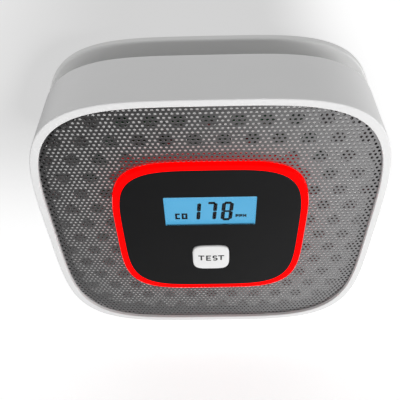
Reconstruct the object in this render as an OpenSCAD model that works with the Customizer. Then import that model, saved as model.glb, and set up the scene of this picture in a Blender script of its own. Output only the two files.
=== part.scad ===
// Battery carbon monoxide alarm with a square, soft-cornered face.
// The back plate lies against a wall or ceiling at Y = 0, the face looks to -Y
// and +Z is up.  Every piece is drawn in the face frame, with X to the right,
// Y up and Z the height above the wall, and row_frame() turns it upright.

/* [Body] */
// Width and height of the square face
face_w = 115; // [108:0.5:124]
// Squareness of the outlines: 2 is a circle, larger is squarer
squareness = 4.15; // [3.6:0.05:4.8]
// Height of the front rim above the wall
rim_z = 34.8; // [34.6:0.1:36]
// Width of the white rim seen from the front
rim_w = 2.4; // [1.8:0.1:3]
// Height of the body's back edge above the wall
body_back_z = 11.4; // [11.2:0.1:12]

/* [Mounting plate] */
// Thickness of the mounting plate
plate_t = 3; // [2.4:0.1:3.2]
// Side of the square on which the wall screw holes lie
screw_square = 80; // [76:1:84]
// Diameter of the wall screw holes
screw_hole_d = 4.5; // [3.5:0.1:5.5]
// Angle from locked to unlocked, in degrees
twist_angle = 30; // [28:1:34]

/* [Front] */
// Depth of the steel mesh below the rim
mesh_drop = 1.2; // [0.8:0.1:1.6]
// Spacing of the vent holes in one row
vent_pitch = 8.8; // [7.5:0.05:10]
// Diameter of a vent hole
vent_d = 4.9; // [3:0.1:5.5]
// Height of the gasket that holds the mesh off the vent plate
gasket_t = 3.6; // [3:0.1:3.8]
// Height of the panel above the rim
panel_rise = 0.2; // [0:0.1:0.6]
// Outer width of the light ring
ring_w = 66; // [64:0.1:68]
// Width of the black panel inside the light ring
panel_w = 61.5; // [60.8:0.1:61.8]

/* [Controls] */
// Width of the blue display as seen
lcd_w = 30.9; // [28:0.1:32]
// Height of the blue display as seen
lcd_h = 13.8; // [12:0.1:15]
// Width of the test button
button_w = 13.5; // [12:0.1:14.5]
// Travel of the test button
button_travel = 0.8; // [0.4:0.1:1]

/* [Battery] */
// Diameter of one cell
cell_d = 14.3; // [14:0.1:14.5]
// Length of one cell without its nub
cell_len = 49.2; // [48.5:0.1:50]

/* [Hidden] */
$fn = 48;
eps = 0.01;
outline_points = 120;

// Heights above the wall, from the back to the front
door_z = 0.7;
door_t = 1.8;
neck_back_z = 0.6;
neck_floor_t = 2;
cell_z = 10.2;
pocket_roof_z = 17.9;
pocket_wall = 1.2;
shelf_t = 2;
board_z = 20.2;
board_t = 1.6;
board_top = board_z + board_t;
mesh_z = rim_z - mesh_drop;
mesh_t = 0.3;
vent_t = 0.8;
vent_z = mesh_z - mesh_t - gasket_t - vent_t;
ring_flange_t = 1.6;
panel_z = rim_z + panel_rise;
panel_t = 3;
// thickness of the panel in front of the display window's lip
panel_web = 0.75;
window_lip_t = 0.7;
window_lip_z = panel_z - panel_web - 0.05 - window_lip_t;

// Outlines
side_wall = 2.2;
inner_w = face_w - 2 * rim_w;
cavity_w = face_w - 2 * side_wall;
shelf_gap = 0.25;
neck_r = 40;
neck_wall = 2;
window_r = 43;
collar_wall = 2;
collar_top = 8.8;

// Bayonet: the head's lugs sit behind the plate's lugs until it is turned
lug_count = 4;
lug_arc = 24;
head_lug_r = 42.4;
head_lug_z = 2.6;
head_lug_t = 2.2;
plate_lug_r = 40.7;
plate_lug_z = 5.2;
plate_lug_t = 2.4;
stop_arc = 4;
stop_gap = 0.6;
stop_depth = 1.8;

// Places of the pieces
case_screw_x = 50;
case_screw_y = 18;
case_boss_r = 3.4;
case_pilot_r = 1.3;
web_len = 5;
web_w = 1.6;
web_inset = 2;
pad_w = 9;
pad_len = 14;
pad_t = 2;
pad_middle = 58;
pad_corner_shift = 6;
board_screw_r = 38.5;
board_half = 43;
board_pilot_r = 1.15;
lcd_y = 11.7;
button_y = -13.3;
button_flange = 1;
switch_floor_t = 1.2;
plunger_spare = 0.4;
sensor_y = -26.5;
sensor_r = 8.5;
sensor_h = 11;
sounder_x = -27;
sounder_y = -27.5;
sounder_r = 11.7;
sounder_h = 4.9;
sounder_wall = 1;
led_x = 12;
led_y = 31.9;

// Battery pocket and its door
pocket_x = 29;
pocket_y = 15.5;
pocket_floor_z = 2.9;
door_half_x = 28.4;
door_mouth_y = -13.7;
hinge_y = -15.2;
hinge_z = 1.6;
hinge_barrel_r = 0.95;
hinge_half_len = 22;
hinge_pin_r = 0.6;
hinge_bore_r = 0.65;
hinge_pin_len = 3;
cell_y = 7.45;
nub_len = 1.2;
cell_start = pocket_x - 0.5 - nub_len - cell_len;

// First row of vents: its height on the face, centred on the middle line
vent_first_y = 46.3;
vent_row = vent_pitch * sqrt(3) / 2;
vent_rows = 14;
vent_columns = 7;
vent_outer_w = inner_w - 0.5;
vent_opening_w = ring_w + 0.8;
gasket_w = 1;

// ---------------------------------------------------------------- helpers

// Turns the face frame upright: the wall is the XZ plane, the face is at -Y.
module row_frame() {
    rotate([90, 0, 0]) children();
}

// Radius of a unit squircle in direction a.
function squircle_r(a) =
    1 / pow(pow(abs(cos(a)), squareness) + pow(abs(sin(a)), squareness), 1 / squareness);

// Square outline with soft corners, w wide and h high.
module squircle(w, h, count = outline_points) {
    polygon([for (i = [0 : count - 1])
        let (a = 360 * i / count, r = squircle_r(a) / 2)
        [w * r * cos(a), h * r * sin(a)]]);
}

module slab(w, z, t, count = outline_points) {
    translate([0, 0, z]) linear_extrude(t) squircle(w, w, count);
}

// Square ring between two soft-cornered outlines.
module square_ring(outer, inner, z, t, count = outline_points) {
    translate([0, 0, z]) linear_extrude(t) difference() {
        squircle(outer, outer, count);
        squircle(inner, inner, count);
    }
}

module disc(r, z, t) {
    translate([0, 0, z]) cylinder(r = r, h = t);
}

// Box centred on x and y, standing on z.
module block(x, y, z, w, h, t) {
    translate([x - w / 2, y - h / 2, z]) cube([w, h, t]);
}

// Piece of a round ring, arc degrees long and centred on direction a.
module ring_piece(inner_r, outer_r, z, t, a, arc) {
    far = outer_r + 2;
    intersection() {
        difference() {
            disc(outer_r, z, t);
            disc(inner_r, z - 1, t + 2);
        }
        translate([0, 0, z - 1]) linear_extrude(t + 2)
            polygon([[0, 0],
                     [far * cos(a - arc / 2), far * sin(a - arc / 2)],
                     [far * cos(a + arc / 2), far * sin(a + arc / 2)]]);
    }
}

// Copies for the four corners of a rectangle, or for the four sides.
module at_corners(x, y) {
    for (sx = [-1, 1]) for (sy = [-1, 1]) translate([sx * x, sy * y, 0]) children();
}

module at_sides(r) {
    for (a = [0 : 90 : 270]) translate([r * cos(a), r * sin(a), 0]) children();
}

// ------------------------------------------------------------ wall side

module lug_stop(a) {
    ring_piece(window_r - stop_depth, window_r + 0.5, plate_lug_z - 2, 4.4, a, stop_arc);
}

module mounting_plate() {
    lug_end = lug_arc / 2 + stop_gap + stop_arc / 2;
    color("whitesmoke") row_frame() {
        difference() {
            union() {
                slab(face_w, 0.5, plate_t - 0.5);
                slab(face_w - 1, 0, 0.5);
                disc(window_r + collar_wall, 0, collar_top);
            }
            disc(window_r, -1, collar_top + 2);
            at_corners(screw_square / 2, screw_square / 2) {
                disc(screw_hole_d / 2, -1, plate_t + 2);
            }
        }
        for (i = [0 : lug_count - 1]) {
            a = i * 360 / lug_count;
            ring_piece(plate_lug_r, window_r + 0.5, plate_lug_z, plate_lug_t, a, lug_arc);
            lug_stop(a - lug_end);
            lug_stop(a + twist_angle + lug_end);
        }
    }
}

// ------------------------------------------------------------ casing

module front_cover() {
    boss_top = vent_z;
    color("white") row_frame() difference() {
        union() {
            square_ring(face_w, cavity_w, body_back_z, rim_z - body_back_z);
            square_ring(face_w - 1, inner_w, mesh_z - mesh_t, mesh_drop + mesh_t);
            // pads that the vent plate is fixed to, further out in the corners
            intersection() {
                slab(face_w - 1, vent_z - pad_t, pad_t);
                union() {
                    for (a = [0 : 45 : 315]) rotate(a)
                        block(0, pad_middle + pad_corner_shift * pow(sin(2 * a), 2), vent_z - pad_t,
                              pad_w, pad_len, pad_t);
                }
            }
            at_corners(case_screw_x, case_screw_y)
                disc(case_boss_r, body_back_z + shelf_t + 0.1, boss_top - body_back_z - shelf_t - 0.1);
            // webs that tie the screw bosses to the side walls
            for (sx = [-1, 1]) for (sy = [-1, 1])
                block(sx * (case_screw_x + web_len / 2 + 1), sy * case_screw_y,
                      body_back_z + shelf_t + web_inset, web_len, web_w,
                      boss_top - body_back_z - shelf_t - 2 * web_inset);
        }
        at_corners(case_screw_x, case_screw_y)
            disc(case_pilot_r, body_back_z, 14);
    }
}

// The neck that enters the mounting plate, the shelf that closes the body
// and the pocket for the cells are one moulding.
module rear_housing() {
    color("white") row_frame() difference() {
        union() {
            difference() {
                union() {
                    slab(cavity_w - 2 * shelf_gap, body_back_z, shelf_t);
                    disc(neck_r, neck_back_z, body_back_z + shelf_t - neck_back_z);
                }
                disc(neck_r - neck_wall, neck_back_z + neck_floor_t, body_back_z + 10);
            }
            // battery pocket: four walls and a roof over the cells
            block(0, 0, neck_back_z + neck_floor_t - eps, 2 * (pocket_x + pocket_wall),
                  2 * (pocket_y + pocket_wall), pocket_roof_z + pocket_wall - neck_back_z - neck_floor_t);
            at_sides(board_screw_r)
                disc(3, body_back_z, board_z - body_back_z);
            for (i = [0 : lug_count - 1])
                ring_piece(neck_r - 0.5, head_lug_r, head_lug_z, head_lug_t, i * 360 / lug_count, lug_arc);
        }
        block(0, 0, pocket_floor_z, 2 * pocket_x, 2 * pocket_y, pocket_roof_z - pocket_floor_z);
        // opening for the door, which leaves the cheeks that hold its pins
        block(0, (door_mouth_y + pocket_y) / 2, neck_back_z - 1, 2 * door_half_x + 0.5,
              pocket_y - door_mouth_y, pocket_floor_z - neck_back_z + 1 + eps);
        // slot for the hinge barrel, and the bores for its two pins
        block(0, hinge_y - 0.35, neck_back_z - 1, 2 * hinge_half_len + 0.5, 3.7, 3.4);
        translate([-hinge_half_len - hinge_pin_len - 0.3, hinge_y, hinge_z]) rotate([0, 90, 0])
            cylinder(r = hinge_bore_r, h = 2 * (hinge_half_len + hinge_pin_len + 0.3));
        // finger notch beside the door's free edge
        block(0, pocket_y + 1, neck_back_z - 1, 14, 4, neck_floor_t + 0.4);
        at_sides(board_screw_r) disc(board_pilot_r, body_back_z + shelf_t + 0.4, 10);
        at_corners(case_screw_x, case_screw_y) {
            disc(1.7, body_back_z - 1, 10);
            disc(3.1, body_back_z - 1, 2.2);
        }
        // air slots in the neck, above and below the sensor
        for (a = [60, 75, 90, 105, 120]) for (side = [0, 180]) rotate(a + side)
            block(neck_r - 1, 0, neck_back_z + 5.4, 6, 3.6, 4.4);
        // slots for the battery tabs that reach the board
        for (sx = [-1, 1]) for (sy = [-1, 1])
            block(sx * (pocket_x - 0.5), sy * cell_y, pocket_roof_z - 1, 1, 3.4, 4);
    }
}

module case_screw() {
    disc(2.8, body_back_z + 0.3, 0.9);
    disc(1.25, body_back_z + 1.2, 10.5);
}

module case_screws() {
    color("silver") row_frame() at_corners(case_screw_x, case_screw_y) difference() {
        case_screw();
        block(0, 0, body_back_z, 3, 0.7, 0.8);
        block(0, 0, body_back_z, 0.7, 3, 0.8);
    }
}

// ------------------------------------------------------------ front

module mesh_grille() {
    color("dimgray") row_frame()
        square_ring(inner_w - 0.1, ring_w + 0.5, mesh_z - mesh_t, mesh_t);
}

// Rubber strip that holds the mesh off the vent plate and keeps dust out round its edge.
module mesh_gasket() {
    outer = inner_w - 0.2;
    color([0.06, 0.06, 0.06]) row_frame()
        square_ring(outer, outer - 2 * gasket_w, vent_z + vent_t, gasket_t);
}

// The grid of vents runs on past the plate's edges, which cut the last ones open.
function vent_on_plate(x, y) =
    let (edge = squircle_r(atan2(y, x)) / 2, r = norm([x, y]))
    r > vent_opening_w * edge - 1.6 && r < vent_outer_w * edge + 0.5;

module vent_holes() {
    for (row = [0 : vent_rows - 1]) for (i = [-vent_columns : vent_columns]) {
        x = vent_pitch * (i + (row % 2) / 2);
        y = vent_first_y - row * vent_row;
        if (vent_on_plate(x, y)) translate([x, y, 0]) disc(vent_d / 2, vent_z - 1, vent_t + 2);
    }
}

module vent_plate() {
    color("white") row_frame() difference() {
        square_ring(vent_outer_w, vent_opening_w, vent_z, vent_t);
        vent_holes();
    }
}

// Translucent ring with a flange behind the vent plate.
module light_ring() {
    color("red") row_frame() {
        square_ring(ring_w, panel_w + 0.1, vent_z - eps, panel_z - vent_z + eps, 96);
        square_ring(ring_w + 3, panel_w - 3, vent_z - ring_flange_t, ring_flange_t, 96);
        square_ring(panel_w + 0.2, panel_w - 3, vent_z - eps, flange_z - vent_z + eps, 96);
    }
}

module fascia_panel() {
    guide_w = button_w + 2.9;
    color([0.02, 0.02, 0.025]) row_frame() difference() {
        union() {
            slab(panel_w, panel_z - panel_t, panel_t, 96);
            translate([0, button_y, panel_z - panel_t - 2]) linear_extrude(2 + eps)
                squircle(guide_w + 2.4, guide_w + 2.4, 48);
        }
        block(0, lcd_y, panel_z - panel_web - eps, lcd_w, lcd_h, panel_web + 1);
        block(0, lcd_y, panel_z - panel_t - 1, lcd_w + 2.4, lcd_h + 2.4, panel_t + 1 - panel_web);
        translate([0, button_y, 0]) {
            translate([0, 0, panel_z - panel_t]) linear_extrude(panel_t + 1)
                squircle(button_w + 0.4, button_w + 0.4, 48);
            translate([0, 0, panel_z - panel_t - 3]) linear_extrude(3)
                squircle(guide_w, guide_w, 48);
        }
    }
}

module lcd_window() {
    color([0.6, 0.8, 1, 0.4]) row_frame() {
        block(0, lcd_y, window_lip_z + window_lip_t - eps, lcd_w - 0.1, lcd_h - 0.1,
              panel_z - window_lip_z - window_lip_t + eps);
        block(0, lcd_y, window_lip_z, lcd_w + 2.2, lcd_h + 2.2, window_lip_t);
    }
}

lcd_front_z = window_lip_z - 0.25;
lcd_glass_t = 2.2;
backlight_t = 2.5;
lcd_body_w = lcd_w + 2;
lcd_body_h = lcd_h + 2;
lcd_seat_z = lcd_front_z - lcd_glass_t - backlight_t - 0.1;
lcd_rubber_y = lcd_y - lcd_body_h / 2 + 1.3;

module lcd_glass() {
    color([0.35, 0.7, 0.88]) row_frame()
        block(0, lcd_y, lcd_front_z - lcd_glass_t, lcd_body_w, lcd_body_h, lcd_glass_t);
}

module lcd_backlight() {
    color("azure") row_frame()
        block(0, lcd_y + 1.4, lcd_seat_z, lcd_body_w - 1, lcd_body_h - 3.6, backlight_t);
}

module lcd_rubber_connector() {
    color("pink") row_frame()
        block(0, lcd_rubber_y, board_top, lcd_body_w - 3, 1.8,
              lcd_front_z - lcd_glass_t - board_top);
}

module lcd_frame() {
    wall = 1.4;
    lip = 0.25;
    color("ivory") row_frame() difference() {
        block(0, lcd_y, board_top, lcd_body_w + 2 * wall, lcd_body_h + 2 * wall,
              flange_z - 0.05 - board_top);
        block(0, lcd_y, lcd_seat_z, lcd_body_w + lip, lcd_body_h + lip, 20);
        block(0, lcd_y + 1.4, board_top - 1, lcd_body_w - 1, lcd_body_h - 3.6, lcd_seat_z - board_top);
        block(0, lcd_rubber_y, board_top - 1, lcd_body_w - 2.6, 2.2, 10);
    }
}

// ------------------------------------------------------------ test button

// Height of the switch plunger's tip, where the button's stem rests on it.
tip_z = board_top + 5.4;
plunger_z = board_top + switch_floor_t + button_travel + plunger_spare;
button_top_z = panel_z + 0.6;
flange_z = panel_z - panel_t;

module test_button() {
    flange_w = button_w + 1.9;
    color("whitesmoke") row_frame() {
        translate([0, button_y, flange_z - eps]) linear_extrude(button_top_z - flange_z + eps)
            squircle(button_w, button_w, 48);
        translate([0, button_y, flange_z - button_flange]) linear_extrude(button_flange)
            squircle(flange_w, flange_w, 48);
        translate([0, button_y, 0])
            disc(2, tip_z + 0.05, flange_z - button_flange - tip_z);
    }
}

module test_switch() {
    color("black") row_frame() difference() {
        union() {
            block(0, button_y, board_top, 6, 6, 3.6);
            at_corners(4, 2.2) block(0, button_y, board_top, 2.2, 0.7, 0.3);
        }
        translate([0, button_y, 0]) disc(1.8, board_top + switch_floor_t, 5);
    }
}

module switch_plunger() {
    color("sienna") row_frame() translate([0, button_y, 0])
        disc(1.75, plunger_z, tip_z - plunger_z);
}

// ------------------------------------------------------------ electronics

module main_board() {
    color("darkgreen") row_frame() difference() {
        slab(2 * board_half, board_z, board_t, 72);
        at_sides(board_screw_r) disc(1.5, board_z - 1, board_t + 2);
        for (i = [-1, 1]) translate([3 * i, sensor_y, 0]) disc(0.55, board_z - 1, board_t + 2);
        translate([0, sensor_y - 4, 0]) disc(0.55, board_z - 1, board_t + 2);
        for (sx = [-1, 1]) for (sy = [-1, 1])
            block(sx * (pocket_x - 0.5), sy * cell_y, board_z - 1, 1, 3.4, board_t + 2);
    }
}

module ring_leds() {
    color("tomato") row_frame() {
        at_corners(led_x, led_y) block(0, 0, board_top, 3.5, 2.8, 1.9);
        at_corners(led_y, led_x) block(0, 0, board_top, 2.8, 3.5, 1.9);
    }
}

module control_chips() {
    color([0.08, 0.08, 0.09]) row_frame() {
        block(24, -2, board_top, 7, 7, 1.4);
        block(-24, 12, board_top, 5, 6, 1.4);
        block(17, -14, board_top, 4, 5, 1.4);
    }
}

module capacitor(x, y, r, h) {
    translate([x, y, 0]) {
        disc(r, board_top, h);
        block(0, 0, board_top, 2 * r + 0.5, 2 * r + 0.5, 0.8);
    }
}

module board_capacitors() {
    color("lightsteelblue") row_frame() {
        capacitor(21.5, -21, 3.15, 5);
        capacitor(22, 22, 2.5, 4.9);
        capacitor(-22, 22, 2.5, 4.9);
        capacitor(13.5, -24, 2.5, 4.9);
    }
}

module step_up_coil() {
    color("saddlebrown") row_frame() translate([-17, -9, 0]) {
        disc(3.6, board_top, 0.8);
        disc(2, board_top + 0.7, 3.4);
        disc(3.6, board_top + 3.4, 0.8);
    }
}

module sounder_case() {
    color([0.12, 0.12, 0.13]) row_frame() translate([sounder_x, sounder_y, 0]) difference() {
        disc(sounder_r, board_top, sounder_h);
        disc(sounder_r - sounder_wall, board_top + 1, sounder_h - 2);
        disc(1.6, board_top + 1, sounder_h);
    }
}

module sounder_disc() {
    color("goldenrod") row_frame() translate([sounder_x, sounder_y, 0]) {
        disc(sounder_r - sounder_wall - 0.1, board_top + 2.2, 0.3);
        disc(7.5, board_top + 1.95, 0.25);
    }
}

// The sensor can hangs from the back of the board into the neck.
module gas_sensor() {
    color("silver") row_frame() translate([0, sensor_y, 0]) {
        disc(sensor_r, board_z - 0.4 - sensor_h, sensor_h);
        disc(sensor_r + 0.3, board_z - 1.6, 1.2);
    }
}

module sensor_filter_cap() {
    cap_z = board_z - 0.4 - sensor_h;
    color([0.85, 0.85, 0.8]) row_frame() translate([0, sensor_y, 0]) difference() {
        disc(sensor_r - 1, cap_z - 2.4, 2.4);
        for (a = [0 : 60 : 300]) rotate(a) translate([4.5, 0, 0]) disc(1, cap_z - 3, 2);
        disc(1, cap_z - 3, 2);
    }
}

module sensor_pins() {
    color("gold") row_frame() {
        for (i = [-1, 1]) translate([3 * i, sensor_y, 0]) disc(0.5, board_z - 0.4, board_t + 1.4);
        translate([0, sensor_y - 4, 0]) disc(0.5, board_z - 0.4, board_t + 1.4);
    }
}

module board_screws() {
    color("silver") row_frame() at_sides(board_screw_r) difference() {
        union() {
            disc(2.4, board_top, 1.6);
            disc(1.1, board_z - 4, 5.7);
        }
        block(0, 0, board_top + 0.8, 2.6, 0.6, 1);
        block(0, 0, board_top + 0.8, 0.6, 2.6, 1);
    }
}

// ------------------------------------------------------------ battery

// Cylinder along X at height cell_z.
module x_cylinder(x, y, r, len) {
    translate([x, y, cell_z]) rotate([0, 90, 0]) cylinder(r = r, h = len);
}

module battery_cells() {
    color("dimgray") row_frame() for (side = [-1, 1]) {
        mirror([side < 0 ? 1 : 0, 0, 0]) {
            x_cylinder(cell_start, side * cell_y, cell_d / 2, cell_len);
            x_cylinder(cell_start + cell_len - eps, side * cell_y, 2.7, nub_len + eps);
        }
    }
}

// Conical contact spring: points of the wire's rings along the helix.
spring_turns = 4;
spring_steps = 14;
spring_sides = 6;
spring_wire_r = 0.3;
spring_len = 5.7;
spring_r0 = 4.4;
spring_r1 = 2.4;

function spring_ring(i) =
    let (n = spring_turns * spring_steps, u = i / n, a = 360 * i / spring_steps,
         r = spring_r0 + (spring_r1 - spring_r0) * u)
    [for (k = [0 : spring_sides - 1])
        let (b = 360 * k / spring_sides, rr = r + spring_wire_r * cos(b))
        [spring_wire_r * (1 + sin(b)) + spring_len * u, rr * cos(a), rr * sin(a)]];

module contact_spring() {
    n = spring_turns * spring_steps;
    s = spring_sides;
    points = [for (i = [0 : n]) each spring_ring(i)];
    sides = [for (i = [0 : n - 1]) for (k = [0 : s - 1])
        [i * s + k, i * s + (k + 1) % s, (i + 1) * s + (k + 1) % s, (i + 1) * s + k]];
    start = [for (k = [s - 1 : -1 : 0]) k];
    end = [for (k = [0 : s - 1]) n * s + k];
    polyhedron(points, concat([start], sides, [end]));
}

module battery_springs() {
    color("silver") row_frame() for (side = [-1, 1])
        translate([-side * (pocket_x - 0.55), side * cell_y, cell_z])
            mirror([side < 0 ? 1 : 0, 0, 0]) contact_spring();
}

module contact_plate(x, y) {
    block(x, y, cell_z - 5, 0.4, 10, 10);
}

module battery_plates() {
    color("silver") row_frame() for (side = [-1, 1]) for (end = [-1, 1])
        contact_plate(end * (pocket_x - 0.25), side * cell_y);
}

module battery_tabs() {
    tab_z = cell_z + 5;
    color("silver") row_frame() for (sx = [-1, 1]) for (sy = [-1, 1])
        block(sx * (pocket_x - 0.25), sy * cell_y, tab_z, 0.4, 2.6, board_top + 0.8 - tab_z);
}

module battery_door() {
    gap = 0.3;
    y0 = hinge_y + 1.8;
    y1 = pocket_y - gap;
    color("white") row_frame() difference() {
        union() {
            block(0, (y0 + y1) / 2, door_z, 2 * (door_half_x - 0.05), y1 - y0, door_t);
            block(0, hinge_y + 1, hinge_z - 0.7, 2 * (hinge_half_len - gap), 2, 1.4);
            translate([-hinge_half_len + gap, hinge_y, hinge_z]) rotate([0, 90, 0])
                cylinder(r = hinge_barrel_r, h = 2 * (hinge_half_len - gap));
            translate([-hinge_half_len - hinge_pin_len, hinge_y, hinge_z]) rotate([0, 90, 0])
                cylinder(r = hinge_pin_r, h = 2 * (hinge_half_len + hinge_pin_len));
        }
        // grip ribs: shallow grooves across the finger end
        for (i = [0 : 3]) block(0, 12.6 - 1.6 * i, door_z - 1, 10, 0.7, 1.4);
    }
}

module door_foam_strip() {
    color("darkslategray") row_frame() block(0, 0, door_z + door_t, 30, 9, 0.35);
}

// ------------------------------------------------------------ assembly

mounting_plate();
front_cover();
mesh_grille();
mesh_gasket();
vent_plate();
light_ring();
fascia_panel();
lcd_window();
lcd_glass();
lcd_backlight();
lcd_frame();
lcd_rubber_connector();
test_button();
test_switch();
switch_plunger();
main_board();
ring_leds();
control_chips();
board_capacitors();
step_up_coil();
sounder_case();
sounder_disc();
gas_sensor();
sensor_filter_cap();
sensor_pins();
rear_housing();
case_screws();
board_screws();
battery_cells();
battery_springs();
battery_plates();
battery_tabs();
battery_door();
door_foam_strip();
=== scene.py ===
"""Looks of a square carbon monoxide alarm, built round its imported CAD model.

Pieces are drawn in the face frame of the CAD source, in millimetres: x to the
right, y up and z the height above the wall.  row_point() turns that into the
row frame in metres, where the face looks to -Y and the wall is at Y = 0.
Materials measure their patterns in metres, in object coordinates.
"""

import math

import bmesh
import bpy
from mathutils import Matrix, Quaternion, Vector
from mathutils.geometry import delaunay_2d_cdt


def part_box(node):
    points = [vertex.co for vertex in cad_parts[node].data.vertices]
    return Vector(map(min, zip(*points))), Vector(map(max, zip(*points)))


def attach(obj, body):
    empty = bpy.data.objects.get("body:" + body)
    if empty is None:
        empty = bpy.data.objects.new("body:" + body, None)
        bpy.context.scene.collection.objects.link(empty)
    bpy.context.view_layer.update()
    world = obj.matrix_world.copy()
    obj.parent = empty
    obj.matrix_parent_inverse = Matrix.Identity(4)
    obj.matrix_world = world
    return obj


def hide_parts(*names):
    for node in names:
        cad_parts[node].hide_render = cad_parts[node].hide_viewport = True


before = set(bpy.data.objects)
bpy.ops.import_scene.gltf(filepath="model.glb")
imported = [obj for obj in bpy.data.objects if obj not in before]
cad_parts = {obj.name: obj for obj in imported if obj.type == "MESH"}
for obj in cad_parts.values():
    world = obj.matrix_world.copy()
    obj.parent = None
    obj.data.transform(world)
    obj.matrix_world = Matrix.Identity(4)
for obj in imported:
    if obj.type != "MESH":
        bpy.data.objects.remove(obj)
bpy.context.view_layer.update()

MM = 0.001
SQUARENESS = 4.15
FINE = 240
SMOOTH_BELOW = math.radians(35)
FLAT_WITHIN = math.radians(1)
WELD_WITHIN = 0.002
BROKEN_EDGE = 0.12

HEAD = "alarm_head"
PLATE_BODY = "mounting_plate"
BUTTON_BODY = "test_button"
DOOR_BODY = "battery_door"


# ---------------- frame to face

def row_point(x, y, z):
    """A point of the face frame in millimetres, in the row frame in metres."""
    return Vector((x, -z, y)) * MM


class Span:
    """Where a CAD node lies in the face frame, in millimetres."""

    def __init__(self, node):
        low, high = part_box(node)
        self.x0, self.x1 = low.x / MM, high.x / MM
        self.y0, self.y1 = low.z / MM, high.z / MM
        self.z0, self.z1 = -high.y / MM, -low.y / MM
        self.centre = (self.x0 + self.x1) / 2, (self.y0 + self.y1) / 2
        self.half_w, self.half_h = (self.x1 - self.x0) / 2, (self.y1 - self.y0) / 2


COVER = Span("front_cover")
PLATE = Span("mounting_plate")
MESH = Span("mesh_grille")
VENTS = Span("vent_plate")
RING = Span("light_ring")
PANEL = Span("fascia_panel")
WINDOW = Span("lcd_window")
LCD = Span("lcd_glass")
BUTTON = Span("test_button")
DOOR = Span("battery_door")
CELLS = Span("battery_cells")
RING_FLANGE_W = 1.5
GLOW_HALF = RING.half_w - RING_FLANGE_W


# ---------------- outlines

def soft_reach(c, s):
    """Distance from the middle to a soft square of half width 1, in the direction (c, s)."""
    return (abs(c) ** SQUARENESS + abs(s) ** SQUARENESS) ** (-1 / SQUARENESS)


def squircle(half, count=FINE, centre=(0, 0)):
    """Square outline with soft corners."""
    points = []
    for i in range(count):
        angle = 2 * math.pi * i / count
        c, s = math.cos(angle), math.sin(angle)
        reach = soft_reach(c, s)
        points.append((centre[0] + half * reach * c, centre[1] + half * reach * s))
    return points


def circle(radius, count, centre=(0, 0)):
    turns = [2 * math.pi / count * i for i in range(count)]
    return [(centre[0] + radius * math.cos(a), centre[1] + radius * math.sin(a)) for a in turns]


def four_corners(x, y):
    return [(sx * x, sy * y) for sx in (-1, 1) for sy in (-1, 1)]


def round_rect(half_x, half_y, corner, steps, centre):
    """Rectangle whose corners are arcs of radius corner."""
    points = []
    for quarter, (sx, sy) in enumerate(((1, 1), (-1, 1), (-1, -1), (1, -1))):
        for k in range(steps + 1):
            angle = math.pi / 2 * (quarter + k / steps)
            points.append((centre[0] + sx * (half_x - corner) + corner * math.cos(angle),
                           centre[1] + sy * (half_y - corner) + corner * math.sin(angle)))
    return points


def rounded(corners, steps=5):
    """Polyline through (offset, height, fillet radius) corners, with each fillet an arc."""
    count = len(corners)
    line = []
    for i, (x, z, radius) in enumerate(corners):
        corner = Vector((x, z))
        if radius == 0:
            line.append((x, z))
            continue
        before = (Vector(corners[i - 1][:2]) - corner).normalized()
        after = (Vector(corners[(i + 1) % count][:2]) - corner).normalized()
        half = before.angle(after) / 2
        middle = corner + (before + after).normalized() * radius / math.sin(half)
        start = corner + before * radius / math.tan(half) - middle
        sweep = start.angle_signed(corner + after * radius / math.tan(half) - middle)
        for k in range(steps + 1):
            turned = Matrix.Rotation(-sweep * k / steps, 2) @ start + middle
            line.append((turned.x, turned.y))
    return line


def signed_area(points):
    """Area of an outline, negative if it runs clockwise."""
    return sum(a[0] * b[1] - b[0] * a[1] for a, b in zip(points, [*points[1:], points[0]])) / 2


def area_between(loops):
    """Triangles that fill the first outline and leave the others open, as point numbers."""
    flat = [Vector(p[:2]) for loop in loops for p in loop]
    outlines = []
    first = 0
    for loop in loops:
        numbers = list(range(first, first + len(loop)))
        outlines.append(numbers if signed_area(loop) > 0 else numbers[::-1])
        first += len(loop)
    made = delaunay_2d_cdt(flat, [], outlines, 1, 1e-6)
    triangles, came_from, within = made[2], made[3], made[5]
    return [tuple(came_from[k][0] for k in triangle)
            for triangle, outline in zip(triangles, within) if outline == [0]]


# ---------------- shapes and pieces

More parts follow.
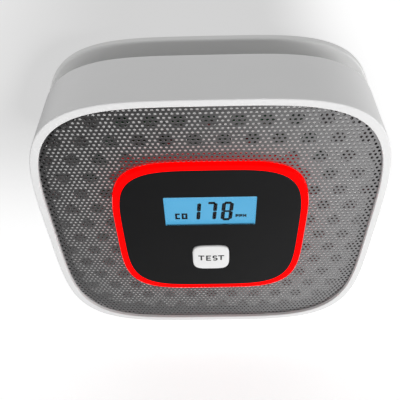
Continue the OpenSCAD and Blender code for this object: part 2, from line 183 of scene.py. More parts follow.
class Shape:
    """Vertices and faces of one piece, in the face frame in millimetres."""

    def __init__(self):
        self.vertices = []
        self.faces = []

    def point(self, x, y, z):
        self.vertices.append((x, y, z))
        return len(self.vertices) - 1

    def loop(self, outline, z):
        """Adds a closed loop at height z and returns its vertex numbers."""
        return [self.point(x, y, z) for x, y in outline]

    def bridge(self, a, b):
        """Quads between two loops with the same number of points."""
        for i in range(len(a)):
            j = (i + 1) % len(a)
            self.faces.append((a[i], a[j], b[j], b[i]))

    def bridge_all(self, loops):
        for a, b in zip(loops, loops[1:]):
            self.bridge(a, b)

    def hoop(self, centre, side, other, radius, count):
        """Adds a round loop in the plane of the directions side and other."""
        ring = []
        for i in range(count):
            a = 2 * math.pi * i / count
            out = side * math.cos(a) + other * math.sin(a)
            ring.append(self.point(*(centre + out * radius)))
        return ring

    def fill(self, outer, holes=()):
        """Flat face inside a loop, with holes left open."""
        if not holes:
            self.faces.append(tuple(outer))
            return
        self.cover([outer, *holes],
                   area_between([[self.vertices[i] for i in loop] for loop in (outer, *holes)]))

    def cover(self, loops, triangles):
        numbers = [i for loop in loops for i in loop]
        for triangle in triangles:
            self.faces.append(tuple(numbers[k] for k in triangle))

    def fan(self, loop, tip):
        for i in range(len(loop)):
            self.faces.append((loop[i], loop[(i + 1) % len(loop)], tip))

    def sweep(self, outline_of, profile):
        """Walls through the (offset, height) points of a profile; returns the loops."""
        loops = [self.loop(outline_of(offset), z) for offset, z in profile]
        self.bridge_all(loops)
        return loops

    def ring(self, outline_of, corners):
        """Closed ring whose section is a rounded polygon."""
        loops = self.sweep(outline_of, rounded(corners))
        self.bridge(loops[-1], loops[0])

    def solid(self, outline_of, corners, inward, steps):
        """Closed slab: the profile runs up the outside, both ends are filled, and inward is
        an offset towards the middle."""
        start, end = (inward, corners[0][1], 0), (inward, corners[-1][1], 0)
        line = rounded([start, *corners, end], steps)[1:-1]
        loops = self.sweep(outline_of, line)
        self.fill(loops[0])
        self.fill(loops[-1])

    def turned(self, profile, axis_start, axis, count):
        """Solid of revolution: profile holds (radius, distance along the axis) points."""
        axis = Vector(axis).normalized()
        side = axis.orthogonal().normalized()
        other = axis.cross(side)
        start = Vector(axis_start)
        loops = []
        for radius, along in profile:
            centre = start + axis * along
            loops.append(self.hoop(centre, side, other, radius, count) if radius
                         else self.point(*centre))
        for a, b in zip(loops, loops[1:]):
            if isinstance(a, int):
                self.fan(b, a)
            elif isinstance(b, int):
                self.fan(a, b)
            else:
                self.bridge(a, b)
        return loops

    def tube(self, centres, radius, sides=10):
        """Round wire along a line of points, closed at both ends."""
        loops = []
        up = Vector((1, 0, 0))
        for i, centre in enumerate(centres):
            ahead = Vector(centres[min(i + 1, len(centres) - 1)])
            behind = Vector(centres[max(i - 1, 0)])
            along = (ahead - behind).normalized()
            side = along.cross(up).normalized()
            loops.append(self.hoop(Vector(centre), side, along.cross(side), radius, sides))
        self.bridge_all(loops)
        self.fill(loops[0])
        self.fill(loops[-1])

    def stroke(self, points, width, z, thickness, height=None):
        """Flat mark along a polyline; height(x, y) lifts it onto a curved face."""
        lift = height or (lambda x, y: 0)
        line = [Vector(p) for p in points]
        left, right = [], []
        for i, p in enumerate(line):
            ahead = line[min(i + 1, len(line) - 1)]
            behind = line[max(i - 1, 0)]
            first = (p - behind).normalized() if i else (ahead - p).normalized()
            second = (ahead - p).normalized() if i < len(line) - 1 else first
            across = (first + second).normalized().orthogonal()
            reach = width / 2 / max(0.5, across.dot(first.orthogonal()))
            left.append(p + across * reach)
            right.append(p - across * reach)
        outline = left + right[::-1]
        low = [self.point(x, y, z + lift(x, y)) for x, y in outline]
        high = [self.point(x, y, z + thickness + lift(x, y)) for x, y in outline]
        self.bridge(low, high)
        count = len(line)
        for loop in (low, high):
            for i in range(count - 1):
                self.faces.append((loop[i], loop[i + 1], loop[-2 - i], loop[-1 - i]))

    def prism(self, outline, z0, z1):
        low, high = self.loop(outline, z0), self.loop(outline, z1)
        self.bridge(low, high)
        self.fill(low)
        self.fill(high)


def modifier(made, name, kind, **settings):
    added = made.modifiers.new(name, kind)
    for setting, value in settings.items():
        setattr(added, setting, value)


def placed(name, data):
    """New object of that mesh, lamp or camera, linked to the scene."""
    made = bpy.data.objects.new(name, data)
    bpy.context.scene.collection.objects.link(made)
    return made


def piece(name, shape, material, body, replaces=()):
    """Makes the Blender object of a shape, and rides it on a body."""
    mesh = bpy.data.meshes.new(name)
    mesh.from_pydata([row_point(*v) for v in shape.vertices], [], shape.faces)
    work = bmesh.new()
    work.from_mesh(mesh)
    bmesh.ops.recalc_face_normals(work, faces=work.faces)
    work.to_mesh(mesh)
    work.free()
    mesh.shade_smooth()
    mesh.set_sharp_from_angle(angle=SMOOTH_BELOW)
    mesh.materials.append(MATERIALS[material])
    made = placed(name, mesh)
    modifier(made, "even_shading", "WEIGHTED_NORMAL", keep_sharp=True)
    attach(made, body)
    if replaces:
        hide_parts(*replaces)


def finish_node(node, material):
    """Gives a carried-over CAD node its material and softly broken edges."""
    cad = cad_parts[node]
    cad.data.materials.clear()
    cad.data.materials.append(MATERIALS[material])
    modifier(cad, "weld", "WELD", merge_threshold=WELD_WITHIN * MM)
    modifier(cad, "flats", "DECIMATE", decimate_type="DISSOLVE", angle_limit=FLAT_WITHIN)
    modifier(cad, "edges", "BEVEL", width=BROKEN_EDGE * MM, segments=2, limit_method="ANGLE",
             angle_limit=SMOOTH_BELOW)
    modifier(cad, "even_shading", "WEIGHTED_NORMAL", keep_sharp=True)


# ---------------- materials

def add_node(tree, kind, inputs, **settings):
    """New node of a tree; each input is given a value or the socket that feeds it."""
    node = tree.nodes.new(kind)
    for name, value in settings.items():
        setattr(node, name, value)
    for name, value in inputs.items():
        if isinstance(value, bpy.types.NodeSocket):
            tree.links.new(value, node.inputs[name])
        else:
            node.inputs[name].default_value = value
    return node


def map_range(tree, value, span, low, high, kind):
    """A value carried from a span to two levels, which are numbers or sockets."""
    inputs = {"Value": value, "From Min": span[0], "From Max": span[1], "To Min": low,
              "To Max": high}
    return add_node(tree, "ShaderNodeMapRange", inputs, interpolation_type=kind).outputs[0]


class Finish:
    """Short forms for building one node material."""

    def __init__(self, name):
        self.material = bpy.data.materials.new(name)
        self.material.use_nodes = True
        self.tree = self.material.node_tree
        self.shader = self.tree.nodes["Principled BSDF"]
        self.place = self.tree.nodes.new("ShaderNodeTexCoord").outputs["Object"]

    def add(self, kind, inputs, **settings):
        return add_node(self.tree, kind, inputs, **settings)

    def noise(self, size, detail, stretch=(1, 1, 1)):
        """Noise with features of about size millimetres, drawn out by stretch."""
        scale = [1 / (size * MM * s) for s in stretch]
        scaled = self.add("ShaderNodeMapping", {"Vector": self.place, "Scale": scale}).outputs[0]
        inputs = {"Vector": scaled, "Scale": 1.0, "Detail": detail}
        return self.add("ShaderNodeTexNoise", inputs).outputs["Fac"]

    def remap(self, value, low, high, from_low=0.3, from_high=0.7):
        return map_range(self.tree, value, (from_low, from_high), low, high, "LINEAR")

    def mix(self, factor, first, second):
        """Blend of two colours, each three numbers or a socket."""
        ends = [end if isinstance(end, bpy.types.NodeSocket) else (*end, 1)
                for end in (first, second)]
        made = self.add("ShaderNodeMix", {0: factor, 6: ends[0], 7: ends[1]}, data_type="RGBA")
        return made.outputs[2]

    def part(self, axis):
        """The x, y or z of a point of the surface, in object coordinates."""
        return self.add("ShaderNodeSeparateXYZ", {0: self.place}).outputs[axis]

    def tone(self, size, detail, first, second):
        """Base colour that wanders between two colours."""
        self.link("Base Color", self.mix(self.noise(size, detail), first, second))

    def polish(self, size, detail, low, high):
        """Roughness that wanders between two levels."""
        self.link("Roughness", self.remap(self.noise(size, detail), low, high))

    def bump(self, height, depth, normal=None):
        """Relief of depth millimetres."""
        inputs = {"Height": height, "Distance": depth * MM, "Strength": 1.0}
        if normal:
            inputs["Normal"] = normal
        made = self.add("ShaderNodeBump", inputs).outputs[0]
        self.link("Normal", made)
        return made

    def link(self, name, value):
        self.tree.links.new(value, self.shader.inputs[name])

    def set(self, name, value):
        self.shader.inputs[name].default_value = value


def shade(colour, factor):
    return tuple(min(1.0, c * factor) for c in colour)


def moulded(name, colour, roughness, grain, depth, mottle, gloss=0.5):
    """Injection-moulded plastic: fine spark grain, faint flow marks and handling shine."""
    f = Finish(name)
    f.set("Specular IOR Level", gloss)
    f.tone(14, 3, shade(colour, 1 - mottle), shade(colour, 1 + mottle))
    f.polish(6, 3, roughness - 0.05, roughness + 0.05)
    waves = f.bump(f.noise(18, 1), 0.02)
    f.bump(f.noise(grain, 2), depth, waves)
    return f.material


# Strength of the painted light on the vent plate's front face.
VENT_PAINTED_LIGHT = 0.29


def vent_finish():
    """Satin white moulding whose front face glows a little: painted light that brightens it, though
    the plate is no lamp.
    """
    f = Finish("vent_white")
    f.tone(14, 3, (0.83, 0.83, 0.825), (0.86, 0.86, 0.855))
    # Painted light: the vent plate's front face glows, though it is no lamp.
    painted_light_at_front = f.remap(f.part("Y"), 0.0, VENT_PAINTED_LIGHT, -(VENTS.z1 - 0.1) * MM, -(VENTS.z1 - 0.04) * MM)
    f.link("Emission Color", f.mix(painted_light_at_front, (0.0, 0.0, 0.0), (0.84, 0.84, 0.835)))
    f.set("Emission Strength", 1.0)
    f.polish(6, 3, 0.5, 0.6)
    f.bump(f.noise(0.5, 2), 0.004)
    return f.material


def sheet_metal(name, colour, roughness, along, size, depth, mottle):
    """Rolled or drawn metal: fine lines along one direction and cloudy tone."""
    f = Finish(name)
    f.set("Metallic", 1.0)
    lines = f.noise(size, 3, along)
    f.tone(5, 3, shade(colour, 1 - mottle), shade(colour, 1 + mottle))
    f.link("Roughness", f.remap(lines, roughness - 0.06, roughness + 0.06))
    f.bump(lines, depth)
    return f.material


def ring_glow():
    """Translucent red light pipe, lit from behind by eight lamps, dim below the mesh."""
    f = Finish("glow_red")
    f.tone(3, 2, (0.30, 0.0, 0.0), (0.42, 0.0, 0.0))
    below_mesh = f.remap(f.part("Y"), 0.0, 1.0, -(MESH.z1 - 0.1) * MM, -(MESH.z0 - 0.5) * MM)
    lit = f.mix(f.noise(9, 1), (0.94, 0.0, 0.0), (1.0, 0.0, 0.0))
    f.link("Emission Color", f.mix(below_mesh, lit, (0.12, 0.0, 0.0)))
    f.set("Emission Strength", 1.6)
    f.set("Specular IOR Level", 0.02)
    f.polish(1.5, 2, 0.42, 0.55)
    f.bump(f.noise(0.5, 2), 0.003)
    return f.material


def display_light():
    """Lit liquid-crystal glass: blue, faintly uneven."""
    f = Finish("display_lit")
    f.link("Emission Color", f.mix(f.noise(9, 1), (0.090, 0.430, 0.730), (0.112, 0.462, 0.765)))
    f.set("Emission Strength", 0.92)
    f.set("Specular IOR Level", 0.1)
    f.tone(2, 2, (0.012, 0.03, 0.045), (0.016, 0.04, 0.055))
    f.polish(1, 2, 0.30, 0.40)
    f.bump(f.noise(0.3, 1), 0.001)
    return f.material


def window_glass():
    """Clear acrylic with an anti-reflection coat, so a low IOR, and faint moulding waves."""
    f = Finish("window_clear")
    f.set("Transmission Weight", 1.0)
    f.set("IOR", 1.18)
    f.set("Specular IOR Level", 0.12)
    f.tone(8, 1, (0.97, 0.99, 1.0), (1.0, 1.0, 1.0))
    f.polish(4, 1, 0.0, 0.02)
    f.bump(f.noise(12, 1), 0.001)
    return f.material


def board_finish():
    """Green solder mask over copper tracks, which show through as lighter green lines."""
    f = Finish("board_green")
    grid = f.add("ShaderNodeMapping", {"Vector": f.place, "Rotation": (math.pi / 2, 0, 0),
                                       "Scale": (420, 420, 420)})
    bricks = {"Vector": grid.outputs[0], "Scale": 1.0, "Mortar Size": 0.05, "Brick Width": 0.9,
              "Row Height": 0.3, "Color1": (0.015, 0.13, 0.05, 1),
              "Color2": (0.012, 0.11, 0.045, 1), "Mortar": (0.03, 0.22, 0.08, 1)}
    tracks = f.add("ShaderNodeTexBrick", bricks)
    dust = f.noise(4, 3)
    painted = f.mix(f.remap(dust, 0.0, 0.25), tracks.outputs["Color"], (0.02, 0.16, 0.07))
    f.link("Base Color", painted)
    f.link("Roughness", f.remap(dust, 0.28, 0.42))
    f.bump(tracks.outputs["Fac"], 0.02)
    return f.material


def foam_finish():
    """Closed-cell foam: small round pores."""
    f = Finish("foam_dark")
    pores = f.add("ShaderNodeTexVoronoi", {"Vector": f.place, "Scale": 1 / (0.5 * MM)})
    distance = pores.outputs["Distance"]
    f.link("Base Color", f.mix(distance, (0.03, 0.032, 0.036), (0.10, 0.105, 0.115)))
    f.polish(1, 2, 0.85, 0.95)
    f.bump(distance, 0.08)
    return f.material


def striped_rubber():
    """Elastomer connector: alternate conducting and insulating layers."""
    f = Finish("striped_elastomer")
    waves = f.add("ShaderNodeTexWave", {"Vector": f.place, "Scale": 1 / (2.2 * MM)},
                  bands_direction="X")
    f.link("Base Color", f.mix(waves.outputs["Fac"], (0.04, 0.04, 0.045), (0.55, 0.42, 0.42)))
    f.polish(1, 2, 0.6, 0.75)
    f.bump(waves.outputs["Fac"], 0.01)
    return f.material


def ink(name, colour, gloss):
    """Printed or etched mark: almost black, slightly uneven."""
    f = Finish(name)
    f.tone(0.4, 2, shade(colour, 0.85), shade(colour, 1.15))
    f.polish(0.6, 2, 0.45, 0.6)
    f.set("Specular IOR Level", gloss)
    f.bump(f.noise(0.2, 1), 0.001)
    return f.material


# Each moulded finish: colour, roughness, grain size, grain depth, mottle, own gloss if any
MOULDED = {
    "casing_white": ((0.80, 0.80, 0.80), 0.42, 0.6, 0.0025, 0.008),
    "plate_white": ((0.79, 0.79, 0.785), 0.46, 0.5, 0.004, 0.01),
    "panel_black": ((0.009, 0.009, 0.0095), 0.42, 0.35, 0.0012, 0.1, 0.16),
    "button_white": ((0.84, 0.84, 0.84), 0.40, 0.5, 0.002, 0.008),
    "diffuser_white": ((0.78, 0.84, 0.88), 0.5, 0.5, 0.004, 0.02),
    "holder_ivory": ((0.72, 0.70, 0.62), 0.5, 0.5, 0.004, 0.03),
    "moulded_black": ((0.022, 0.022, 0.024), 0.5, 0.3, 0.006, 0.08),
    "plunger_brown": ((0.16, 0.07, 0.04), 0.45, 0.5, 0.004, 0.06),
    "lamp_red": ((0.65, 0.05, 0.03), 0.25, 0.5, 0.004, 0.05),
    "chip_black": ((0.03, 0.03, 0.032), 0.55, 0.2, 0.008, 0.08),
    "ferrite": ((0.05, 0.045, 0.045), 0.6, 0.3, 0.01, 0.1),
    "filter_white": ((0.70, 0.70, 0.66), 0.6, 0.5, 0.004, 0.03),
    "cell_sleeve": ((0.03, 0.045, 0.075), 0.28, 1.2, 0.004, 0.05),
    "cell_band": ((0.62, 0.63, 0.64), 0.32, 1.2, 0.004, 0.04),
    "gasket_black": ((0.012, 0.012, 0.012), 0.9, 0.6, 0.05, 0.02, 0.1),
}
# Each metal finish: colour, roughness, stretch of the lines, their size, relief, mottle
METALS = {
    "mesh_steel": ((0.42, 0.415, 0.42), 0.30, (14, 1, 1), 0.4, 0.0012, 0.05),
    "capacitor_can": ((0.68, 0.69, 0.72), 0.30, (1, 1, 8), 0.25, 0.002, 0.06),
    "brass_disc": ((0.78, 0.60, 0.28), 0.30, (14, 1, 1), 0.25, 0.002, 0.08),
    "sensor_steel": ((0.60, 0.60, 0.62), 0.28, (1, 10, 1), 0.25, 0.002, 0.06),
    "gold_plate": ((0.85, 0.62, 0.26), 0.22, (1, 6, 1), 0.25, 0.002, 0.06),
    "zinc_plate": ((0.62, 0.63, 0.66), 0.34, (1, 1, 1), 0.5, 0.002, 0.08),
    "nickel_plate": ((0.70, 0.68, 0.64), 0.24, (5, 1, 1), 0.25, 0.002, 0.05),
}
# Each ink: colour, gloss
INKS = {
    "segment_black": ((0.003, 0.003, 0.006), 0.05),
    "lettering_grey": ((0.03, 0.03, 0.032), 0.3),
}
MATERIALS = {
    "vent_white": vent_finish(),
    "glow_red": ring_glow(),
    "display_lit": display_light(),
    "window_clear": window_glass(),
    "striped_elastomer": striped_rubber(),
    "board_green": board_finish(),
    "foam_dark": foam_finish(),
}
for looks, finish in ((MOULDED, moulded), (METALS, sheet_metal), (INKS, ink)):
    MATERIALS.update({look: finish(look, *values) for look, values in looks.items()})


# ---------------- casing

RIM_W = 2.4
SIDE_WALL = 2.2
BOSS_AT = (50, 18)
BOSS_R = 3.4
BOSS_BORE_R = 1.3
SHELF_T = 2.1
PAD_HALF_W = 4.5
PAD_REACH = (52.6, 6.6)
PAD_SPAN = (-2, 3)
PAD_T = 2


def front_shell():
    """Side walls and front rim in one, with the screw bosses and the vent plate's pads."""
    shape = Shape()
    half = COVER.half_w
    inner, cavity = half - RIM_W, half - SIDE_WALL
    shape.ring(squircle, [(half, COVER.z0, 0.5), (half, COVER.z1, 0.4), (inner, COVER.z1, 0.25),
                          (inner, MESH.z0, 0), (cavity, MESH.z0, 0), (cavity, COVER.z0, 0.3)])
    boss_foot = COVER.z0 + SHELF_T
    for centre in four_corners(*BOSS_AT):
        shape.ring(lambda radius: circle(radius, 32, centre),
                   [(BOSS_R, boss_foot, 0), (BOSS_R, VENTS.z0, 0.3),
                    (BOSS_BORE_R, VENTS.z0, 0.2), (BOSS_BORE_R, boss_foot, 0)])
    for i in range(8):
        angle = math.radians(45 * i)
        reach = PAD_REACH[0] + PAD_REACH[1] * math.sin(2 * angle) ** 2
        near, far = reach + PAD_SPAN[0], reach + PAD_SPAN[1]
        w = PAD_HALF_W
        corners = ((-w, near), (w, near), (w, far), (-w, far))
        outline = [Matrix.Rotation(angle, 2) @ Vector(corner) for corner in corners]
        shape.prism(outline, VENTS.z0 - PAD_T, VENTS.z0)
    piece("front_shell", shape, "casing_white", HEAD, ["front_cover"])


WINDOW_R = 43
COLLAR_R = 45
COLLAR_SIDES = 144
SCREW_AT = 40
SCREW_HOLE_R = 2.25
SCREW_HOLE_SIDES = 32
PLATE_T = 3
PLATE_STEP = 0.5
LUG_R = (40.7, 43.3)
LUG_ARC = 24
LUG_Z = (5.2, 7.6)
STOP_R = (41.2, 43.3)
STOP_ARC = 4
STOP_Z = (3.2, 7.6)
STOP_CLEARANCE = 2.6
TWIST = 30


def sector(inner, outer, angle, arc, inset, steps=12):
    """Outline of a piece of a round ring, in degrees."""
    half = math.radians(arc) / 2 - inset / outer
    middle = math.radians(angle)
    angles = [middle - half + 2 * half * k / steps for k in range(steps + 1)]
    near, far = inner + inset, outer - inset
    return ([(far * math.cos(a), far * math.sin(a)) for a in angles]
            + [(near * math.cos(a), near * math.sin(a)) for a in reversed(angles)])


def wall_plate():
    """Thin plate with a round window, a raised collar, bayonet lugs and screw holes."""
    shape = Shape()
    half = PLATE.half_w
    back = half - PLATE_STEP
    edge = rounded([(half - 2, 0, 0), (back, 0, 0.2), (back, PLATE_STEP, 0), (half, PLATE_STEP, 0.1),
                    (half, PLATE_T, 0.6), (half - 2, PLATE_T, 0)])
    outside = shape.sweep(squircle, edge[1:-1])
    wall = rounded([(COLLAR_R + 2, PLATE_T, 0), (COLLAR_R, PLATE_T, 0.4), (COLLAR_R, PLATE.z1, 0.5),
                    (WINDOW_R, PLATE.z1, 0.5), (WINDOW_R, 0, 0.3), (COLLAR_R, 0, 0)])
    collar = shape.sweep(lambda radius: circle(radius, COLLAR_SIDES), wall[1:-1])
    screw_holes = [
        shape.sweep(lambda extra: circle(SCREW_HOLE_R + extra, SCREW_HOLE_SIDES, centre),
                    [(1.9, PLATE_T), (1.75, PLATE_T - 0.1), (0, PLATE_T - 1.6), (0, 0)])
        for centre in four_corners(SCREW_AT, SCREW_AT)]
    for end, start in ((-1, 0), (0, -1)):
        shape.fill(outside[end], [opening[start] for opening in (collar, *screw_holes)])
    lug_end = LUG_ARC / 2 + STOP_CLEARANCE
    for i in range(4):
        middle = 90 * i
        shape.solid(lambda inset: sector(*LUG_R, middle, LUG_ARC, inset),
                    [(0, LUG_Z[0], 0.2), (0, LUG_Z[1], 0.3)], 1, 3)
        for stop in (middle - lug_end, middle + TWIST + lug_end):
            shape.solid(lambda inset: sector(*STOP_R, stop, STOP_ARC, inset, 4),
                        [(0, STOP_Z[0], 0.15), (0, STOP_Z[1], 0.15)], 1, 2)
    piece("wall_plate", shape, "plate_white", PLATE_BODY, ["mounting_plate"])


# ---------------- perforated mesh

HOLE_PITCH = 1.62
HOLE_R = 0.475
HOLE_SIDES = 12
HOLE_EDGE = 0.12
HOLE_TURN = 2 * math.pi / HOLE_SIDES
EDGE_MARGIN = 0.25
LEAST_HOLE = 0.3
OUTER_SIDES = 360


def outward_from(x, y):
    """Direction square to the soft square that passes through a point."""
    return Vector((math.copysign(abs(x) ** (SQUARENESS - 1), x),
                   math.copysign(abs(y) ** (SQUARENESS - 1), y))).normalized()


def edge_room(x, y, half):
    """Rough distance from a point to the soft square of that half width, positive inside."""
    if x == 0 and y == 0:
        return half
    angle = math.atan2(y, x)
    c, s = abs(math.cos(angle)), abs(math.sin(angle))
    facing = outward_from(abs(x), abs(y)).dot(Vector((c, s)))
    return (half * soft_reach(c, s) - math.hypot(x, y)) * facing


def chained(edges):
    """Closed loops of vertex numbers from a set of directed edges."""
    after = dict(edges)
    loops = []
    while after:
        start, here = after.popitem()
        loop = [start]
        while here != start:
            loop.append(here)
            here = after.pop(here)
        loops.append(loop)
    return loops


def clipped_hole(x, y, outer, inner):
    """A hole near an edge of the sheet, cut off where the sheet ends; None if little is left."""
    points = []
    for k in range(HOLE_SIDES):
        px = x + HOLE_R * math.cos(k * HOLE_TURN)
        py = y + HOLE_R * math.sin(k * HOLE_TURN)
        for half, sign in ((outer - HOLE_EDGE, 1), (inner + HOLE_EDGE, -1)):
            room = sign * edge_room(px, py, half)
            if room < 0:
                px, py = Vector((px, py)) + sign * room * outward_from(px, py)
        points.append((px, py))
    return points if signed_area(points) > LEAST_HOLE * math.pi * HOLE_R ** 2 else None


def mesh_sheet():
    """Steel sheet with round holes on a triangular grid, cut through by its edges."""
    outer, inner = MESH.half_w, GLOW_HALF + EDGE_MARGIN
    z0, z1 = MESH.z0, MESH.z1
    corner_r = HOLE_PITCH / math.sqrt(3)
    row_step = HOLE_PITCH * math.sqrt(3) / 2
    rows = int(outer / row_step) + 1
    columns = int(outer / HOLE_PITCH) + 1
    shape = Shape()
    corners = {}

    def corner(x, y):
        key = (round(x, 3), round(y, 3))
        if key not in corners:
            corners[key] = (shape.point(x, y, z1), shape.point(x, y, z0))
        return corners[key]

    def both_sides(outline):
        return shape.loop(outline, z1), shape.loop(outline, z0)

    border = {}
    edge_holes = []
    for j in range(-rows, rows + 1):
        for i in range(-columns, columns + 1):
            x, y = HOLE_PITCH * (i + 0.5 * (j % 2)), row_step * j
            whole = (edge_room(x, y, outer) > corner_r + EDGE_MARGIN
                     and edge_room(x, y, inner) < -corner_r - EDGE_MARGIN)
            if not whole:
                if edge_room(x, y, outer) > -HOLE_R and edge_room(x, y, inner) < HOLE_R:
                    edge_holes.append(clipped_hole(x, y, outer, inner))
                continue
            front, back = both_sides(circle(HOLE_R, HOLE_SIDES, (x, y)))
            shape.bridge(front, back)
            turns = [math.radians(30 + 60 * k) for k in range(6)]
            cell = [corner(x + corner_r * math.cos(a), y + corner_r * math.sin(a)) for a in turns]
            for k in range(6):
                a, b = cell[k], cell[(k + 1) % 6]
                near = [(2 * k + n) % HOLE_SIDES for n in (3, 2, 1)]
                shape.faces.append((a[0], b[0], *[front[n] for n in near]))
                shape.faces.append((a[1], b[1], *[back[n] for n in near]))
                if (b, a) in border:
                    del border[(b, a)]
                else:
                    border[(a, b)] = True

    rims = sorted(chained(list(border)), key=len)
    zones = {"inner": [], "outer": []}
    for hole in edge_holes:
        if hole:
            x, y = hole[0]
            near_outer = edge_room(x, y, outer) < -edge_room(x, y, inner)
            zones["outer" if near_outer else "inner"].append(hole)
    ends = {"outer": both_sides(squircle(outer, OUTER_SIDES)), "inner": both_sides(squircle(inner))}
    for name, rim in (("inner", rims[0]), ("outer", rims[-1])):
        shape.bridge(*ends[name])
        holes = [both_sides(hole) for hole in zones[name]]
        for front, back in holes:
            shape.bridge(front, back)
        borders = [ends[name], tuple([pair[side] for pair in rim] for side in (0, 1))]
        strip = [*(borders if name == "outer" else borders[::-1]), *holes]
        triangles = area_between([[shape.vertices[i] for i in pair[0]] for pair in strip])
        for side in (0, 1):
            shape.cover([pair[side] for pair in strip], triangles)
    piece("mesh_sheet", shape, "mesh_steel", HEAD, ["mesh_grille"])


# ---------------- ring, panel and display

def glow_ring():
    """Light pipe with a soft front edge, a flange behind the vents and an inner ledge."""
    shape = Shape()
    ledge = PANEL.half_w - 1.5
    front = PANEL.z1
    flange_top, ledge_top = VENTS.z0, PANEL.z0
    shape.ring(squircle,
               [(RING.half_w, RING.z0, 0.2), (RING.half_w, flange_top, 0.2),
                (GLOW_HALF, flange_top, 0), (GLOW_HALF, front, 0.45),
                (PANEL.half_w + 0.05, front, 0.15), (PANEL.half_w + 0.05, ledge_top, 0),
                (ledge, ledge_top, 0.1), (ledge, RING.z0, 0.1)])
    piece("glow_ring", shape, "glow_red", HEAD, ["light_ring"])


PANEL_WEB = 0.75
WINDOW_LIP = 1.05
WINDOW_GAP = 0.05
GUIDE_Z = PANEL.z0 - 2
BUTTON_HALF = BUTTON.half_w - 0.95
BUTTON_GAP = 0.2
BUTTON_SIDES = 96


def centre_panel():
    """Satin black panel with a display opening and a guided opening for the button."""
    shape = Shape()
    half = PANEL.half_w
    edge = rounded([(half - 2, PANEL.z0, 0), (half, PANEL.z0, 0.2), (half, PANEL.z1, 0.3),
                    (half - 2, PANEL.z1, 0)])
    outside = shape.sweep(squircle, edge[1:-1])
    opening_w, opening_h = WINDOW.half_w - WINDOW_LIP, WINDOW.half_h - WINDOW_LIP
    web_back = PANEL.z1 - PANEL_WEB
    display = shape.sweep(
        lambda extra: round_rect(opening_w + extra, opening_h + extra, 0.45 + extra, 6, WINDOW.centre),
        [(0.12, PANEL.z1), (0.03, PANEL.z1 - 0.04), (0, PANEL.z1 - 0.14), (0, web_back),
         (1.2, web_back), (1.2, PANEL.z0)])
    button_hole = BUTTON_HALF + BUTTON_GAP
    guide = shape.sweep(
        lambda extra: squircle(button_hole + extra, BUTTON_SIDES, BUTTON.centre),
        [(0.3, PANEL.z1), (0.1, PANEL.z1 - 0.08), (0, PANEL.z1 - 0.3), (0, PANEL.z0),
         (1.25, PANEL.z0), (1.25, GUIDE_Z), (2.45, GUIDE_Z), (2.45, PANEL.z0 - 0.001)])
    for end, start in ((-1, 0), (0, -1)):
        shape.fill(outside[end], [display[start], guide[start]])
    piece("centre_panel", shape, "panel_black", HEAD, ["fascia_panel"])


def display_window():
    """Clear window: a plug flush with the panel, and a lip behind its opening."""
    shape = Shape()
    lip = WINDOW_LIP + WINDOW_GAP
    plug_w, plug_h = WINDOW.half_w - lip, WINDOW.half_h - lip
    lip_top = PANEL.z1 - PANEL_WEB - WINDOW_GAP
    shape.solid(
        lambda extra: round_rect(plug_w + extra, plug_h + extra, 0.4 + extra, 5, WINDOW.centre),
        [(lip, WINDOW.z0, 0.05), (lip, lip_top, 0.1), (0, lip_top, 0), (0, WINDOW.z1, 0.1)], -5, 3)
    piece("display_window", shape, "window_clear", HEAD, ["lcd_window"])


def display_glass():
    """The lit sandwich of the display: rear glass, front glass and its polariser film."""
    shape = Shape()
    middle = (LCD.z0 + LCD.z1) / 2
    for inset, z0, z1 in ((0, LCD.z0, middle - 0.03), (0.05, middle + 0.03, LCD.z1 - 0.2),
                          (0.25, LCD.z1 - 0.18, LCD.z1)):
        w, h = LCD.half_w - inset, LCD.half_h - inset
        shape.solid(lambda extra: round_rect(w - extra, h - extra, 0.25, 3, LCD.centre),
                    [(0, z0, 0.05), (0, z1, 0.05)], 1, 2)
    piece("display_glass", shape, "display_lit", HEAD, ["lcd_glass"])


DIGIT_H = 9.3
DIGIT_W = 3.95
DIGIT_PITCH = 5.5
DIGIT_STROKE = 1.3
DIGIT_GAP = 0.08
DIGIT_POINT = 0.25
DIGIT_SLANT = 0.075
SEGMENT_WIDTHS = {"g": 0.62, "a": 0.85, "d": 0.85}
INK_T = 0.04
SEGMENTS = {"1": "bc", "7": "abc", "8": "abcdefg"}


def segment_bar(shape, start, end, width, slant_from, z):
    """One display segment: a bar with blunt pointed ends, leaning with its digit."""
    start, end = Vector(start), Vector(end)
    along = (end - start).normalized()
    across = along.orthogonal() * width / 2
    tip = along * width * DIGIT_POINT
    outline = [start, start + tip + across, end - tip + across, end, end - tip - across,
               start + tip - across]
    leaning = [(p.x + DIGIT_SLANT * (p.y - slant_from), p.y) for p in outline]
    shape.prism(leaning, z, z + INK_T)


def digit(shape, character, right, bottom, z):
    """Seven-segment digit whose lower right corner is at (right, bottom)."""
    edge = DIGIT_STROKE / 2
    x0, x1 = right - DIGIT_W + edge, right - edge
    y0, y2 = bottom + edge * 0.8, bottom + DIGIT_H - edge * 0.8
    y1 = (y0 + y2) / 2
    ends = {"a": ((x0, y2), (x1, y2)), "b": ((x1, y1), (x1, y2)), "c": ((x1, y0), (x1, y1)),
            "d": ((x0, y0), (x1, y0)), "e": ((x0, y0), (x0, y1)), "f": ((x0, y1), (x0, y2)),
            "g": ((x0, y1), (x1, y1))}
    for name in SEGMENTS[character]:
        start, end = Vector(ends[name][0]), Vector(ends[name][1])
        gap = (end - start).normalized() * DIGIT_GAP
        width = DIGIT_STROKE * SEGMENT_WIDTHS.get(name, 1)
        segment_bar(shape, start + gap, end - gap, width, bottom, z)


def curve_s(steps=9):
    """Points of the letter S in a unit square."""
    upper, lower = [], []
    for k in range(steps + 1):
        angle = math.radians(25 + 245 * k / steps)
        upper.append(((1 + math.cos(angle)) / 2, 0.75 + 0.25 * math.sin(angle)))
        lower.append(((1 - math.cos(angle)) / 2, 0.25 - 0.25 * math.sin(angle)))
    return upper + lower[::-1][1:]


